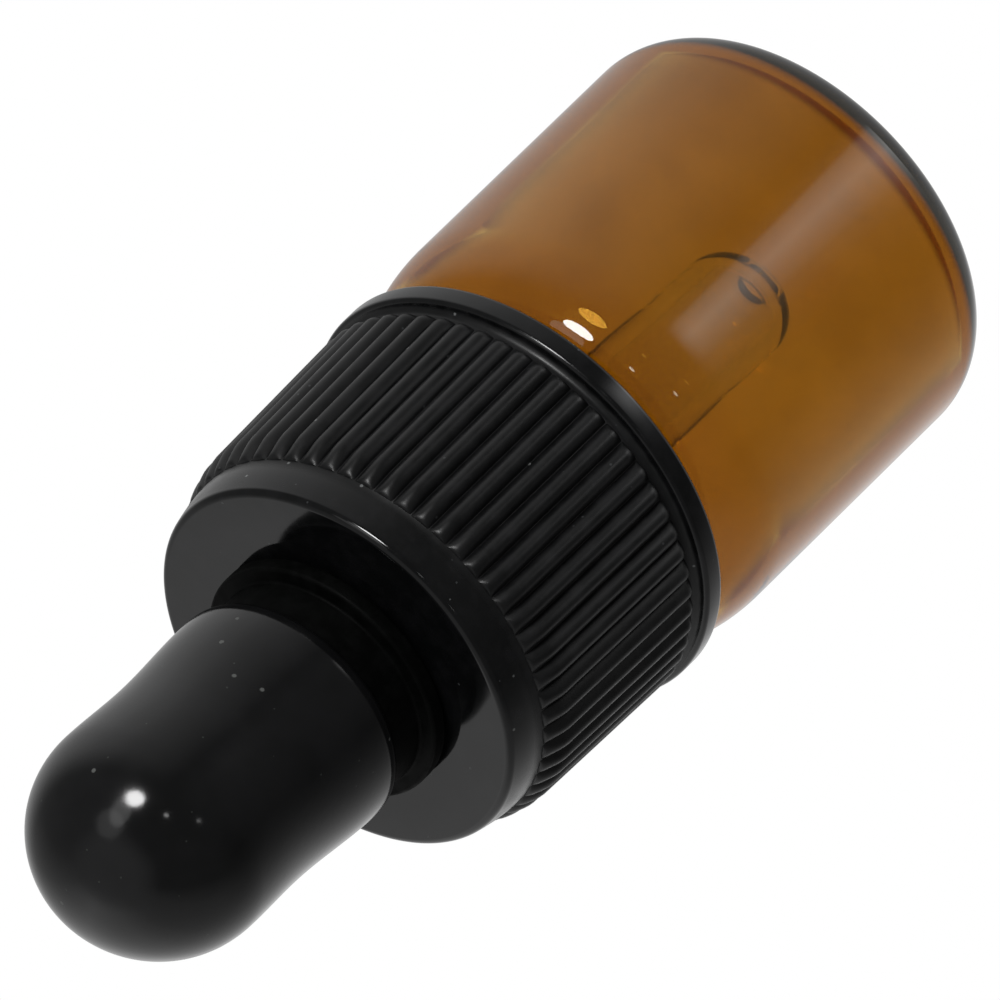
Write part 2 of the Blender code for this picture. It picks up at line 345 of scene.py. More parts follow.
def amber_glass():
    """Golden-brown moulded glass, softly rippled and faintly smeared, deeper at the shoulder, with painted
    shade at the heel, on the heel's rim and where the side is seen edge on.
    """
    material, t, shader = finish("amber_glass", (0.55, 0.29, 0.05), 0.02, transmission=1.0)
    point = t.place()
    x, y, z = t.split(point)
    streaks = t.noise(t.place((260.0, 260.0, 60.0)), 1.0, 3.0)
    clouds = t.noise(point, 0.16, 2.0)
    body = t.mix(clouds.between(0.35, 0.68), AMBER, AMBER_CLOUD)
    body = t.mix(streaks.between(0.45, 0.75, 0.0, 0.5), body, AMBER_STREAK)
    body = t.mix(z.between(*SHOULDER_TINT) * 0.85, body, AMBER_SHOULDER)
    # Painted shade: a deeper tint is painted on the outer face where the glass is solid all the way through
    # and where the side is seen edge on
    radius = (x * x + y * y) ** 0.5
    facing = t.add("ShaderNodeLayerWeight", None, {"Blend": 0.5}, output=1)
    backs = t.add("ShaderNodeNewGeometry", None, (), output="Backfacing")
    out = radius - (BODY_RADIUS - HEEL_RADIUS)
    dip = (z - HEEL_RADIUS).math("MINIMUM", 0.0)
    skin = ((out * out + dip * dip) ** 0.5).between(*HEEL_SKIN)
    outside = skin * radius.between(*HEEL_SKIN_RADII) * (1 - backs)
    painted_heel_shade = z.between(*HEEL_SHADE_Z) * outside * facing.between(*HEEL_SHADE_FACING)
    edge_on = facing + z.between(*SHOULDER_EDGE_ON) * 0.06
    painted_wall_shade = edge_on.between(*WALL_SHADE_FACING) * radius.between(*WALL_SKIN_RADII) * (1 - backs)
    # solid is the painted shade of the heel and of the edge-on wall together
    solid = painted_heel_shade.math("MAXIMUM", painted_wall_shade)
    body = t.mix(solid, body, AMBER_PAINTED_SHADE)
    # Painted shade: the rim of the heel is painted almost black
    rim = z.between(*RIM_SHADE_Z) * outside * facing.between(*RIM_SHADE_FACING)
    body = t.mix(rim, body, AMBER_PAINTED_RIM_SHADE)
    smear = t.noise(t.place((420.0, 420.0, 150.0), (3.0, 1.0, 0.0)), 1.0, 5.0, 0.6)
    dull = smear.between(0.52, 0.74, 0.015, 0.07)
    ripple = t.noise(t.place((190.0, 190.0, 55.0)), 1.0, 2.0, 0.45)
    fine = t.noise(point, 1.7, 2.0)
    relief = t.bump(ripple, 0.3, 0.05)
    relief = t.bump(fine, 0.05, 0.006, relief)
    feed(t, shader, Base_Color=body, Roughness=dull, Normal=relief)
    return material


def clear_glass():
    """Drawn clear tube, with faint lines along it."""
    material, t, shader = finish("clear_glass", (0.93, 0.95, 0.94), 0.02, transmission=1.0)
    lines = t.noise(t.place((1500.0, 1500.0, 60.0)), 1.0, 2.0)
    film = t.noise(t.place((300.0, 300.0, 120.0)), 1.0, 4.0)
    tint = t.mix(film.between(0.4, 0.7), (0.94, 0.955, 0.95, 1.0), (0.86, 0.89, 0.88, 1.0))
    feed(t, shader, Base_Color=tint, Roughness=film.between(0.5, 0.75, 0.01, 0.08))
    feed(t, shader, Normal=t.bump(lines, 0.2, 0.01))
    return material


def black_plastic(name, polish, relief_strength):
    """Moulded satin black plastic with dust. Polish makes the crown's face and edge and the band smoother."""
    material, t, shader = finish(name, (0.006, 0.006, 0.0065), 0.3)
    point = t.place()
    z = t.split(point)[2]
    crown = z.between(CHAMFER_TOP + 0.1, CHAMFER_TOP + 0.5)
    face = z.between(CROWN_TOP - 0.5, CROWN_TOP - 0.2)
    band = z.between(BAND_TOP + 0.05, BAND_TOP - 0.05)
    mottle = t.noise(point, 0.9, 4.0, 0.6)
    grain = t.noise(point, 14.0, 2.0, 0.6)
    rub = t.noise(t.place((700.0, 700.0, 4000.0), (2.0, 5.0, 1.0)), 1.0, 3.0, 0.7)
    satin = mottle.between(0.3, 0.75, 0.34, 0.45)
    satin = satin + rub.between(0.55, 0.8, 0.0, 0.08)
    glossy = mottle.between(0.35, 0.75, 0.06, 0.11)
    middle = mottle.between(0.3, 0.75, 0.20, 0.29)
    smooth = mottle.between(0.3, 0.75, 0.13, 0.20)
    rough = satin
    if polish:
        rough = satin * (1 - crown) + crown * (middle * (1 - face) + glossy * face)
        rough = rough * (1 - band) + smooth * band
    dust = t.specks(t.place(shift=(4.3, 1.7, 0.9)), 1.1, 0.08, 0.55)
    lint = t.specks(t.place(shift=(9.3, 2.7, 6.9)), 0.5, 0.05, 0.9)
    tone = t.mix(mottle.between(0.4, 0.7), (0.0040, 0.0043, 0.0045, 1.0), (0.0075, 0.0076, 0.0082, 1.0))
    tone = t.mix(dust * 0.4, tone, (0.12, 0.125, 0.13, 1.0))
    tone = t.mix(lint * 0.7, tone, (0.28, 0.29, 0.29, 1.0))
    soft = t.noise(point, 0.35, 1.0)
    relief = t.bump(soft, 0.25, 0.03)
    relief = t.bump(grain, relief_strength, 0.004, relief)
    feed(t, shader, Base_Color=tone, Roughness=rough, Normal=relief)
    return material


def black_rubber():
    """Smooth dark rubber with a slight orange-peel, a few specks of lint and a faint bloom."""
    material, t, shader = finish("black_rubber", (0.007, 0.007, 0.0072), 0.2)
    point = t.place()
    bloom = t.noise(point, 0.22, 3.0, 0.55)
    peel = t.noise(point, 2.2, 2.0)
    fine = t.noise(point, 16.0, 2.0)
    lint = t.specks(point, 0.6, 0.085, 0.42)
    crumbs = t.specks(t.place(shift=(7.1, 2.3, 5.9)), 1.4, 0.09, 0.4)
    tone = t.mix(bloom.between(0.35, 0.7), (0.0048, 0.005, 0.0052, 1.0), (0.0095, 0.0095, 0.0102, 1.0))
    tone = t.mix(lint * 0.55, tone, (0.22, 0.23, 0.22, 1.0))
    tone = t.mix(crumbs * 0.4, tone, (0.08, 0.09, 0.08, 1.0))
    rough = bloom.between(0.3, 0.75, 0.10, 0.17) + lint * 0.4
    relief = t.bump(peel, 0.12, 0.02)
    relief = t.bump(fine, 0.1, 0.003, relief)
    feed(t, shader, Base_Color=tone, Roughness=rough, Normal=relief)
    return material


def dull_shaded_rubber():
    """The same rubber in the groove and on the foot, where it is unpolished, painted darker there as shade
    because it never sees much light.
    """
    material, t, shader = finish("dull_shaded_rubber", (0.003, 0.003, 0.003), 0.5, specular=0.04)
    cloud = t.noise(t.place(), 1.1, 3.0, 0.6)
    # Painted shade: this tone is darker than the rest of the bulb's rubber
    tone = t.mix(cloud.between(0.35, 0.7), (0.0022, 0.0024, 0.0022, 1.0), (0.0042, 0.0045, 0.0043, 1.0))
    relief = t.bump(t.noise(t.place(), 9.0, 2.0), 0.15, 0.006)
    feed(t, shader, Base_Color=tone, Roughness=cloud.between(0.3, 0.7, 0.42, 0.6), Normal=relief)
    return material


# ---------------------------------------------------------------- shapes


def arc(centre, radii, start, end, count):
    """Points (r, z) along an elliptical arc, in degrees from 0 outwards to 90 upwards."""
    points = []
    for i in range(count + 1):
        angle = math.radians(start + (end - start) * i / count)
        points.append((centre[0] + radii[0] * math.cos(angle), centre[1] + radii[1] * math.sin(angle)))
    return points


def swell(low, high, steps):
    """Points after low, up to high, along a side that is upright at both of them."""
    points = []
    for i in range(1, steps + 1):
        share = (1 - math.cos(math.pi * i / steps)) / 2
        points.append((low[0] + (high[0] - low[0]) * share, low[1] + (high[1] - low[1]) * i / steps))
    return points


def dish(rim, low, height, steps):
    """Points (r, z) outwards along a shallow hollow that is level at its middle and at its rim."""
    points = []
    for i in range(steps + 1):
        share = (1 + math.cos(math.pi * i / steps)) / 2
        points.append((rim * i / steps, low + height * share))
    return points


def wall(radius, start, end, step):
    """Points up or down an upright wall, close enough together to carry a thread."""
    count = max(1, round(abs(end - start) / step))
    return [(radius, start + (end - start) * i / count) for i in range(count + 1)]


def turned(name, profile, steps, closed=False, shape=None):
    """A solid turned round Z. Points on the axis become poles, and a closed profile joins up."""
    bm = bmesh.new()
    rings = []
    for r, z in profile:
        count = 1 if r < 1e-6 else steps
        ring = []
        for i in range(count):
            angle = TAU * i / steps
            point = Vector((r * math.cos(angle), r * math.sin(angle), z))
            ring.append(bm.verts.new((shape(point) if shape else point) * MM))
        rings.append(ring)
    pairs = list(zip(rings, rings[1:]))
    if closed:
        pairs.append((rings[-1], rings[0]))
    for low, high in pairs:
        for i in range(steps):
            j = (i + 1) % steps
            if len(low) == 1:
                bm.faces.new((low[0], high[j], high[i]))
            elif len(high) == 1:
                bm.faces.new((low[i], low[j], high[0]))
            else:
                bm.faces.new((low[i], low[j], high[j], high[i]))
    bmesh.ops.recalc_face_normals(bm, faces=bm.faces)
    return piece(name, bm)


def piece(name, bm):
    """Makes a smooth-shaded object from a bmesh."""
    mesh = bpy.data.meshes.new(name)
    bm.to_mesh(mesh)
    bm.free()
    mesh.shade_smooth()
    made = bpy.data.objects.new(name, mesh)
    bpy.context.scene.collection.objects.link(made)
    return made


def new_tree(name, inputs):
    """A Geometry Nodes tree with named inputs. Returns it and a wire for each input."""
    nodes = bpy.data.node_groups.new(name, "GeometryNodeTree")
    nodes.interface.new_socket("Geometry", in_out="INPUT", socket_type="NodeSocketGeometry")
    for label, kind in inputs:
        nodes.interface.new_socket(label, in_out="INPUT", socket_type=kind)
    nodes.interface.new_socket("Geometry", in_out="OUTPUT", socket_type="NodeSocketGeometry")
    tree = Tree(nodes)
    first = tree.add("NodeGroupInput")
    wires = {label: tree.more(first, label) for label in ["Geometry"] + [label for label, kind in inputs]}
    return tree, wires


def close_tree(tree, geometry, material):
    """Ends a tree: instances made real, then the material."""
    real = tree.add("GeometryNodeRealizeInstances", None, [geometry])
    done = tree.add("GeometryNodeSetMaterial", None, {"Geometry": real, "Material": material})
    tree.add("NodeGroupOutput", None, [done])
    return tree.tree


def apply_tree(made, nodes, values):
    """Runs a tree on a piece with the given inputs and keeps the result as a plain mesh."""
    modifier = made.modifiers.new(nodes.name, "NODES")
    modifier.node_group = nodes
    for item in nodes.interface.items_tree:
        if item.in_out == "INPUT" and item.name in values:
            modifier[item.identifier] = values[item.name]
    graph = bpy.context.evaluated_depsgraph_get()
    result = bpy.data.meshes.new_from_object(made.evaluated_get(graph), depsgraph=graph)
    old = made.data
    made.modifiers.remove(modifier)
    made.data = result
    bpy.data.meshes.remove(old)
    result.name = made.name
    return made


def screw_ridge_tree():
    """Raises one helical ridge, right-handed, on the part of a turned mesh that has the wall's radius."""
    number = "NodeSocketFloat"
    labels = ["Pitch", "Height", "Wall radius", "First crest", "Turns", "Half base", "Half crest", "Run out"]
    sockets = [(label, number) for label in labels] + [("Finish", "NodeSocketMaterial")]
    tree, wires = new_tree("screw_ridge", sockets)
    position = tree.add("GeometryNodeInputPosition")
    x, y, z = tree.split(position)
    radius = (x * x + y * y) ** 0.5
    on_wall = abs(radius - wires["Wall radius"]).math("LESS_THAN", WALL_MATCH * MM)
    angle = (y.math("ARCTAN2", x) / TAU).math("FRACT")
    lap = (z - wires["First crest"]) / wires["Pitch"] - angle
    nearest = lap.math("ROUND")
    along = nearest + angle
    off = abs(lap - nearest) * wires["Pitch"]
    flank = off.between(wires["Half base"], wires["Half crest"])
    rise = (along.math("MINIMUM", wires["Turns"] - along) / wires["Run out"]).between(0.0, 1.0)
    lift = wires["Height"] * flank * rise * on_wall / radius
    move = tree.add("ShaderNodeCombineXYZ", None, [x * lift, y * lift, 0.0])
    moved = tree.add("GeometryNodeSetPosition", None, {"Geometry": wires["Geometry"], "Offset": move})
    return close_tree(tree, moved, wires["Finish"])


def rib_ring_tree():
    """Repeats one rib at even steps round Z."""
    tree, wires = new_tree("rib_ring", [("Ribs", "NodeSocketInt"), ("Finish", "NodeSocketMaterial")])
    points = tree.add("GeometryNodePoints", None, {"Count": wires["Ribs"]})
    index = tree.add("GeometryNodeInputIndex")
    turn = tree.add("ShaderNodeCombineXYZ", None, [0.0, 0.0, index * TAU / wires["Ribs"]])
    inputs = {"Points": points, "Instance": wires["Geometry"], "Rotation": turn}
    ring = tree.add("GeometryNodeInstanceOnPoints", None, inputs)
    return close_tree(tree, ring, wires["Finish"])


def vial(material, ridge):
    """The outside from the base up to the lip, then the inside back down, with the neck's thread."""
    heel_r = BODY_RADIUS - HEEL_RADIUS
    shoulder_r = BODY_RADIUS - SHOULDER_DROP
    shoulder_top = SHOULDER_START + SHOULDER_HEIGHT
    ridge_r = NECK_RADIUS + NECK_FILLET
    inner_r = BODY_RADIUS - GLASS_WALL
    lip_z = MOUTH_Z - LIP_ROUND
    profile = dish(heel_r - BEARING_WIDTH, BASE_Z, PUSH_UP, 16)
    profile += arc((heel_r, BASE_Z + HEEL_RADIUS), (HEEL_RADIUS, HEEL_RADIUS), -90, 0, 24)
    profile += wall(BODY_RADIUS, HEEL_RADIUS, SHOULDER_START, WALL_STEP)[1:-1]
    profile += arc((shoulder_r, SHOULDER_START), (SHOULDER_DROP, SHOULDER_HEIGHT), 0, 90, 30)
    profile += arc((ridge_r, shoulder_top + NECK_FILLET), (NECK_FILLET, NECK_FILLET), -90, -180, 12)
    profile += wall(NECK_RADIUS, shoulder_top + NECK_FILLET, lip_z, THREAD_STEP)[1:-1]
    profile += arc((NECK_RADIUS - LIP_ROUND, lip_z), (LIP_ROUND, LIP_ROUND), 0, 90, 7)
    profile += arc((BORE_RADIUS + LIP_ROUND, lip_z), (LIP_ROUND, LIP_ROUND), 90, 180, 7)
    fillet_r = BORE_RADIUS + INNER_NECK_FILLET
    inner_top = SHOULDER_START + INNER_SHOULDER_HEIGHT
    fillet = (INNER_NECK_FILLET, INNER_NECK_FILLET)
    profile += arc((fillet_r, inner_top + INNER_NECK_FILLET), fillet, 180, 270, 8)
    profile += arc((fillet_r, SHOULDER_START), (inner_r - fillet_r, INNER_SHOULDER_HEIGHT), 90, 0, 24)[1:]
    inner_heel = (inner_r - INNER_HEEL_RADIUS, FLOOR_THICKNESS + INNER_HEEL_RADIUS)
    profile += wall(inner_r, SHOULDER_START, inner_heel[1], WALL_STEP)[1:-1]
    profile += arc(inner_heel, (INNER_HEEL_RADIUS, INNER_HEEL_RADIUS), 0, -90, 18)
    profile += dish(inner_heel[0], FLOOR_THICKNESS, PUSH_UP / 2, 12)[-2::-1]
    made = turned("vial_glass", profile, VIAL_FACETS, shape=uneven_glass)
    values = {
        "Pitch": PITCH * MM,
        "Height": THREAD_DEPTH * MM,
        "Wall radius": NECK_RADIUS * MM,
        "First crest": NECK_THREAD_Z * MM,
        "Turns": NECK_THREAD_TURNS,
        "Half base": NECK_THREAD_HALF_BASE * MM,
        "Half crest": NECK_THREAD_HALF_CREST * MM,
        "Run out": RUN_OUT,
        "Finish": material,
    }
    return apply_tree(made, ridge, values)


def uneven_glass(point):
    """Moulded glass is a touch uneven inside the wall, and true outside."""
    r = math.hypot(point.x, point.y)
    inner_r = BODY_RADIUS - GLASS_WALL
    if r < UNEVEN_FROM_RADIUS or r > inner_r + 0.01 or not UNEVEN_LOW <= point.z <= UNEVEN_HIGH:
        return point
    cloud = noise.noise(point * Vector(UNEVEN_GRAIN) + Vector((0, 0, 9)))
    change = UNEVEN_DEPTH * cloud - UNEVEN_SETBACK
    return Vector((point.x * (1 + change / r), point.y * (1 + change / r), point.z))


def cap_core(z):
    """The radius at the bottom of the valleys between the ribs, at a height."""
    if z <= RIBS_TOP:
        share = max(0.0, (z - RIBS_FULL) / (RIBS_TOP - RIBS_FULL))
        return RIB_RADIUS_LOW - RIB_DEPTH + (RIB_RADIUS_HIGH - RIB_RADIUS_LOW) * share
    share = (z - RIBS_TOP) / (CHAMFER_TOP - RIBS_TOP)
    return RIB_RADIUS_HIGH - RIB_DEPTH + (CROWN_RADIUS + CROWN_STEP - RIB_RADIUS_HIGH + RIB_DEPTH) * share


def cap(material, ridge):
    """The band, the core under the ribs, the crown, the hole and the threaded bore, in that order."""
    band = (BAND_RADIUS - EDGE_ROUND, CAP_MOUTH_Z + EDGE_ROUND)
    edge = (EDGE_ROUND, EDGE_ROUND)
    band_edge = (BAND_RADIUS - BAND_ROUND, BAND_TOP - BAND_ROUND)
    groove_r = cap_core(RIBS_START)
    gap = BAND_RADIUS - BAND_ROUND - groove_r
    profile = [(CAP_BORE + EDGE_ROUND, CAP_MOUTH_Z)]
    profile += arc(band, edge, -90, 0, 6)
    profile += arc(band_edge, (BAND_ROUND, BAND_ROUND), 0, 90, 8)
    profile += arc((groove_r + gap, BAND_TOP + gap), (gap, gap), -90, -180, 8)[1:]
    profile += [(cap_core(z), z) for z in CORE_HEIGHTS]
    profile += [(CROWN_RADIUS, CHAMFER_TOP + CROWN_LEDGE)]
    profile += CROWN_WALL
    crown_edge = (CROWN_EDGE_RADIUS, CROWN_TOP - CROWN_ROUND)
    profile += arc(crown_edge, (CROWN_ROUND_WIDTH, CROWN_ROUND), 8, 90, 12)
    profile += [(r, CROWN_TOP) for r in CROWN_FACE_RADII]
    hole_edge = (CAP_HOLE + HOLE_ROUND, CROWN_TOP - HOLE_ROUND)
    profile += arc(hole_edge, (HOLE_ROUND, HOLE_ROUND), 90, 180, 4)
    profile += [(CAP_HOLE, CEILING_Z), (CAP_BORE - EDGE_ROUND - CEILING_MARGIN, CEILING_Z)]
    profile += arc((CAP_BORE - EDGE_ROUND, CEILING_Z - EDGE_ROUND), edge, 90, 0, 4)
    profile += wall(CAP_BORE, CEILING_Z - EDGE_ROUND, CAP_MOUTH_Z + EDGE_ROUND, THREAD_STEP)[1:]
    made = turned("cap_shell", profile, CAP_FACETS, closed=True)
    values = {
        "Pitch": PITCH * MM,
        "Height": -THREAD_DEPTH * MM,
        "Wall radius": CAP_BORE * MM,
        "First crest": (NECK_THREAD_Z + PITCH / 2) * MM,
        "Turns": CAP_THREAD_TURNS,
        "Half base": CAP_THREAD_HALF_BASE * MM,
        "Half crest": CAP_THREAD_HALF_CREST * MM,
        "Run out": RUN_OUT,
        "Finish": material,
    }
    return apply_tree(made, ridge, values)


def rib_outline(z):
    """A rib's crest radius and its height over the valley, at a height up the cap."""
    core = cap_core(z)
    if z < RIBS_FULL:
        share = (z - RIBS_START) / (RIBS_FULL - RIBS_START)
        return core + RIB_DEPTH * math.sqrt(max(0.0, 1 - (1 - share) ** 2)), core
    if z <= RIBS_TOP:
        return core + RIB_DEPTH, core
    share = (z - RIBS_TOP) / (CHAMFER_TOP - RIBS_TOP)
    crest = RIB_RADIUS_HIGH + (CHAMFER_RADIUS - RIB_RADIUS_HIGH) * share ** 1.5
    return crest, core


def ribs(material, ring):
    """One rounded rib with a faded foot and a rounded head, then the ring of them."""
    heights = RIB_FOOT_HEIGHTS + RIB_HEIGHTS + RIB_HEAD_HEIGHTS
    # The last heights round the rib's head off
    shares = [1.0] * (len(heights) - len(RIB_HEAD_SHARES)) + list(RIB_HEAD_SHARES)
    half = TAU / RIB_COUNT / 2
    bm = bmesh.new()
    rows = []
    for z, share in zip(heights, shares):
        crest, core = rib_outline(z)
        height = (crest - core) * share + RIB_SINK
        places = []
        for i in range(RIB_ACROSS + 1):
            u = -1 + 2 * i / RIB_ACROSS
            places.append((core - RIB_SINK + height * (1 - u * u), u * half))
        places += [(core - RIB_ROOT, half), (core - RIB_ROOT, -half)]
        row = [Vector((r * math.cos(angle), r * math.sin(angle), z)) * MM for r, angle in places]
        rows.append([bm.verts.new(place) for place in row])
    for low, high in zip(rows, rows[1:]):
        for i in range(len(low)):
            j = (i + 1) % len(low)
            bm.faces.new((low[i], low[j], high[j], high[i]))
    bm.faces.new(rows[0])
    bm.faces.new(rows[-1])
    bmesh.ops.recalc_face_normals(bm, faces=bm.faces)
    made = piece("cap_ribs", bm)
    made.data.set_sharp_from_angle(angle=SHARP_ANGLE)
    return apply_tree(made, ring, {"Ribs": RIB_COUNT, "Finish": material})


def bulb(material, groove_shade_material):
    """The chamber from its top down, the bore, the flange, the neck, then the outside up to the dome."""
    bore_r = PIPETTE_RADIUS + GRIP_GAP
    foot_r = FOOT_RADIUS - FOOT_ROUND
    foot_round = (FOOT_ROUND, FOOT_ROUND)
    flange_r = FLANGE_RADIUS - FLANGE_ROUND
    flange_round = (FLANGE_ROUND, FLANGE_ROUND)
    fillet = (GROOVE_FILLET, GROOVE_FILLET)
    bulge_size = (BULGE_RADIUS - GROOVE_RADIUS, BULGE_Z - GROOVE_TOP)
    chamber_low = PIPETTE_TOP_Z + CHAMBER_GAP
    chamber_r = WAIST_RADIUS - RUBBER_WALL
    curve = chamber_r - bore_r
    inner_dome = (DOME_RADIUS - RUBBER_WALL, BULB_TOP - DOME_Z - RUBBER_WALL)
    profile = arc((0, DOME_Z), inner_dome, 90, 0, 20)
    profile[0] = (0.0, profile[0][1])
    profile += arc((bore_r, chamber_low + curve), (curve, curve), 0, -90, 10)
    profile += [(bore_r, FLANGE_LOW)]
    profile += arc((flange_r, FLANGE_LOW + FLANGE_ROUND), flange_round, -90, 0, 4)
    profile += arc((flange_r, FLANGE_HIGH - FLANGE_ROUND), flange_round, 0, 90, 4)
    profile += [(BULB_NECK_RADIUS, FLANGE_HIGH), (BULB_NECK_RADIUS, FOOT_LOW)]
    profile += arc((foot_r, FOOT_LOW + FOOT_ROUND), foot_round, -90, 0, 6)
    profile += arc((foot_r, FOOT_TOP - FOOT_ROUND), foot_round, 0, 90, 6)
    profile += arc((GROOVE_RADIUS + GROOVE_FILLET, FOOT_TOP + GROOVE_FILLET), fillet, -90, -180, 4)
    profile += arc((GROOVE_RADIUS, BULGE_Z), bulge_size, -90, 0, 12)
    profile += swell(profile[-1], (WAIST_RADIUS, WAIST_Z), 12)
    profile += swell(profile[-1], (DOME_RADIUS, DOME_Z), 8)
    profile += arc((0, DOME_Z), (DOME_RADIUS, BULB_TOP - DOME_Z), 0, 90, 40)[1:]
    profile[-1] = (0.0, profile[-1][1])
    made = turned("bulb_rubber", profile, BULB_FACETS, shape=soft_rubber)
    made.data.set_sharp_from_angle(angle=SHARP_ANGLE)
    made.data.materials.append(material)
    made.data.materials.append(groove_shade_material)
    # The neck, the foot and the groove take the dull finish, painted darker as shade
    for face in made.data.polygons:
        height = face.center.z / MM
        reach_out = math.hypot(face.center.x, face.center.y) / MM
        if height < GROOVE_TOP + 0.12 and reach_out > BULB_NECK_RADIUS - 0.1:
            face.material_index = 1
    return made


def soft_rubber(point):
    """The bulb leans a little above the crown, and its side isn't quite round."""
    above = max(0.0, point.z - FOOT_TOP)
    r = math.hypot(point.x, point.y)
    x, y = point.x, point.y
    if r > 1e-6:
        share = min(1.0, above / BULB_EASE) * min(1.0, r / BULB_EASE)
        change = BULB_UNEVEN_DEPTH * noise.noise(point * Vector(BULB_UNEVEN_GRAIN)) * share
        x, y = x * (1 + change / r), y * (1 + change / r)
    return Vector((x + BULB_LEAN * above, y, point.z))


def hanging_tube(point):
    """Below the crown the tube follows the same leaning line as the bulb above it."""
    return Vector((point.x + BULB_LEAN * min(0.0, point.z - TUBE_PIVOT_Z), point.y, point.z))


def pipette(material):
    """A plain tube with a rounded, pierced tip and a rounded upper end."""
    bore_r = PIPETTE_RADIUS - PIPETTE_WALL
    inner_round = bore_r - TIP_HOLE
    inner_z = PIPETTE_TIP_Z + PIPETTE_WALL + inner_round
    lip_z = PIPETTE_TOP_Z - PIPETTE_LIP
    lip = (PIPETTE_LIP, PIPETTE_LIP)
    tip_edge = (TIP_HOLE + TIP_EDGE_ROUND, PIPETTE_TIP_Z + TIP_EDGE_ROUND)
    profile = arc(tip_edge, (TIP_EDGE_ROUND, TIP_EDGE_ROUND), 180, 270, 5)
    shoulder = (PIPETTE_RADIUS - TIP_ROUND, PIPETTE_TIP_Z + TIP_ROUND)
    profile += arc(shoulder, (TIP_ROUND, TIP_ROUND), -90, 0, 18)
    profile += arc((PIPETTE_RADIUS - PIPETTE_LIP, lip_z), lip, 0, 90, 6)
    profile += arc((bore_r + PIPETTE_LIP, lip_z), lip, 90, 180, 6)
    profile += arc((TIP_HOLE, inner_z), (inner_round, inner_round), 0, -90, 12)
    made = turned("pipette_glass", profile, PIPETTE_FACETS, closed=True, shape=hanging_tube)
    made.data.materials.append(material)
    return made


# ---------------------------------------------------------------- build


glass = amber_glass()
tube = clear_glass()
plastic = black_plastic("black_plastic", True, 0.12)
rib_plastic = black_plastic("black_plastic_ribs", False, 0.16)
rubber = black_rubber()
groove_shade_rubber = dull_shaded_rubber()
ridge = screw_ridge_tree()

made_vial = vial(glass, ridge)
made_cap = cap(plastic, ridge)
made_cap.data.set_sharp_from_angle(angle=CAP_SHARP_ANGLE)
made_ribs = ribs(rib_plastic, rib_ring_tree())
made_bulb = bulb(rubber, groove_shade_rubber)
made_pipette = pipette(tube)

for made, body, node, slot in (
    (made_vial, "vial", "glass_vial", "amber_glass"),
    (made_cap, "cap", "screw_cap", "black_plastic"),
    (made_ribs, "cap", None, "black_plastic"),
    (made_bulb, "dropper", "rubber_bulb", "black_rubber"),
    (made_pipette, "dropper", "glass_pipette", "clear_glass"),
):
    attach(made, body)
    if node:
        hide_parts(node)


# ---------------------------------------------------------------- studio


# The floor's and the dome's radii, in metres, and how far the floor lies under the bottle, in millimetres
FLOOR_RADIUS, DOME_SHELL_RADIUS = 6.0, 7.0
FLOOR_DROP = 0.05


def stage_white(name):
    """A white that gives its own even light and mirrors nothing."""
    material = bpy.data.materials.new(name)
    material.use_nodes = True
    shader = material.node_tree.nodes["Principled BSDF"]
    shader.inputs["Base Color"].default_value = (0.0, 0.0, 0.0, 1.0)
    shader.inputs["Specular IOR Level"].default_value = 0.0
    shader.inputs["Emission Color"].default_value = (1.0, 1.0, 1.0, 1.0)
    shader.inputs["Emission Strength"].default_value = 1.0
    return material


def studio():
    """A pale round floor and a pale dome, both seen directly and through the glass but never mirrored."""
    bm = bmesh.new()
    bmesh.ops.create_circle(bm, cap_ends=True, segments=96, radius=FLOOR_RADIUS)
    floor = piece("floor", bm)
    floor.location.z = -FLOOR_DROP * MM
    floor.data.materials.append(stage_white("pale_floor"))
    bm = bmesh.new()
    bmesh.ops.create_uvsphere(bm, u_segments=48, v_segments=24, radius=DOME_SHELL_RADIUS)
    dome = piece("dome", bm)
    dome.data.materials.append(stage_white("pale_dome"))
    for made in (floor, dome):
        made.visible_glossy = False
        made.visible_diffuse = False
        made.visible_shadow = False


# How bright the room is all round, by azimuth in degrees: below the bottle's level, and above it
LOW_ROOM = (
    (-180, 0.19), (-164, 0.10), (-150, 0.06), (-118, 0.10), (-86, 0.13), (-70, 0.10), (-54, 0.24),
    (-38, 0.36), (-22, 0.46), (-6, 0.59), (20, 0.63), (42, 0.55), (74, 0.52), (90, 0.62), (108, 0.85),
    (124, 0.73), (140, 0.56), (156, 0.40), (170, 0.27), (180, 0.19),
)
HIGH_ROOM = (
    (-180, 0.28), (-160, 0.11), (-80, 0.10), (-40, 0.13), (0, 0.15), (45, 0.18), (72, 0.34),
    (100, 0.75), (130, 0.60), (152, 0.38), (180, 0.28),
)
OVERHEAD = (0.30, 0.30, 0.30, 1.0)
UNDERNEATH = (0.48, 0.48, 0.48, 1.0)


def surroundings():
    """A dim room, paler behind the bottle and, low down, on its +X side."""
    world = bpy.data.worlds.new("room")
    bpy.context.scene.world = world
    world.use_nodes = True
    t = Tree(world.node_tree)
    direction = t.add("ShaderNodeTexCoord", None, (), output="Generated")
    x, y, z = t.split(direction)
    azimuth = y.math("ARCTAN2", x) / TAU + 0.5
    rings = []
    for room in (LOW_ROOM, HIGH_ROOM):
        stops = [(angle / 360 + 0.5, (level, level, level)) for angle, level in room]
        rings.append(t.add("ShaderNodeValToRGB", {"stops": stops}, [azimuth]))
    level = t.mix(z.between(-0.35, 0.12), rings[0], rings[1])
    level = t.mix(z.between(0.75, 0.95), level, OVERHEAD)
    level = t.mix(z.between(-0.72, -0.86), level, UNDERNEATH)
    background = world.node_tree.nodes["Background"]
    world.node_tree.links.new(level.socket, background.inputs["Color"])
    background.inputs["Strength"].default_value = 1.0


# How far the lamps stand, and the height on the bottle that they face, in metres
LAMP_DISTANCE = 0.7
LAMP_AIM_Z = 0.035


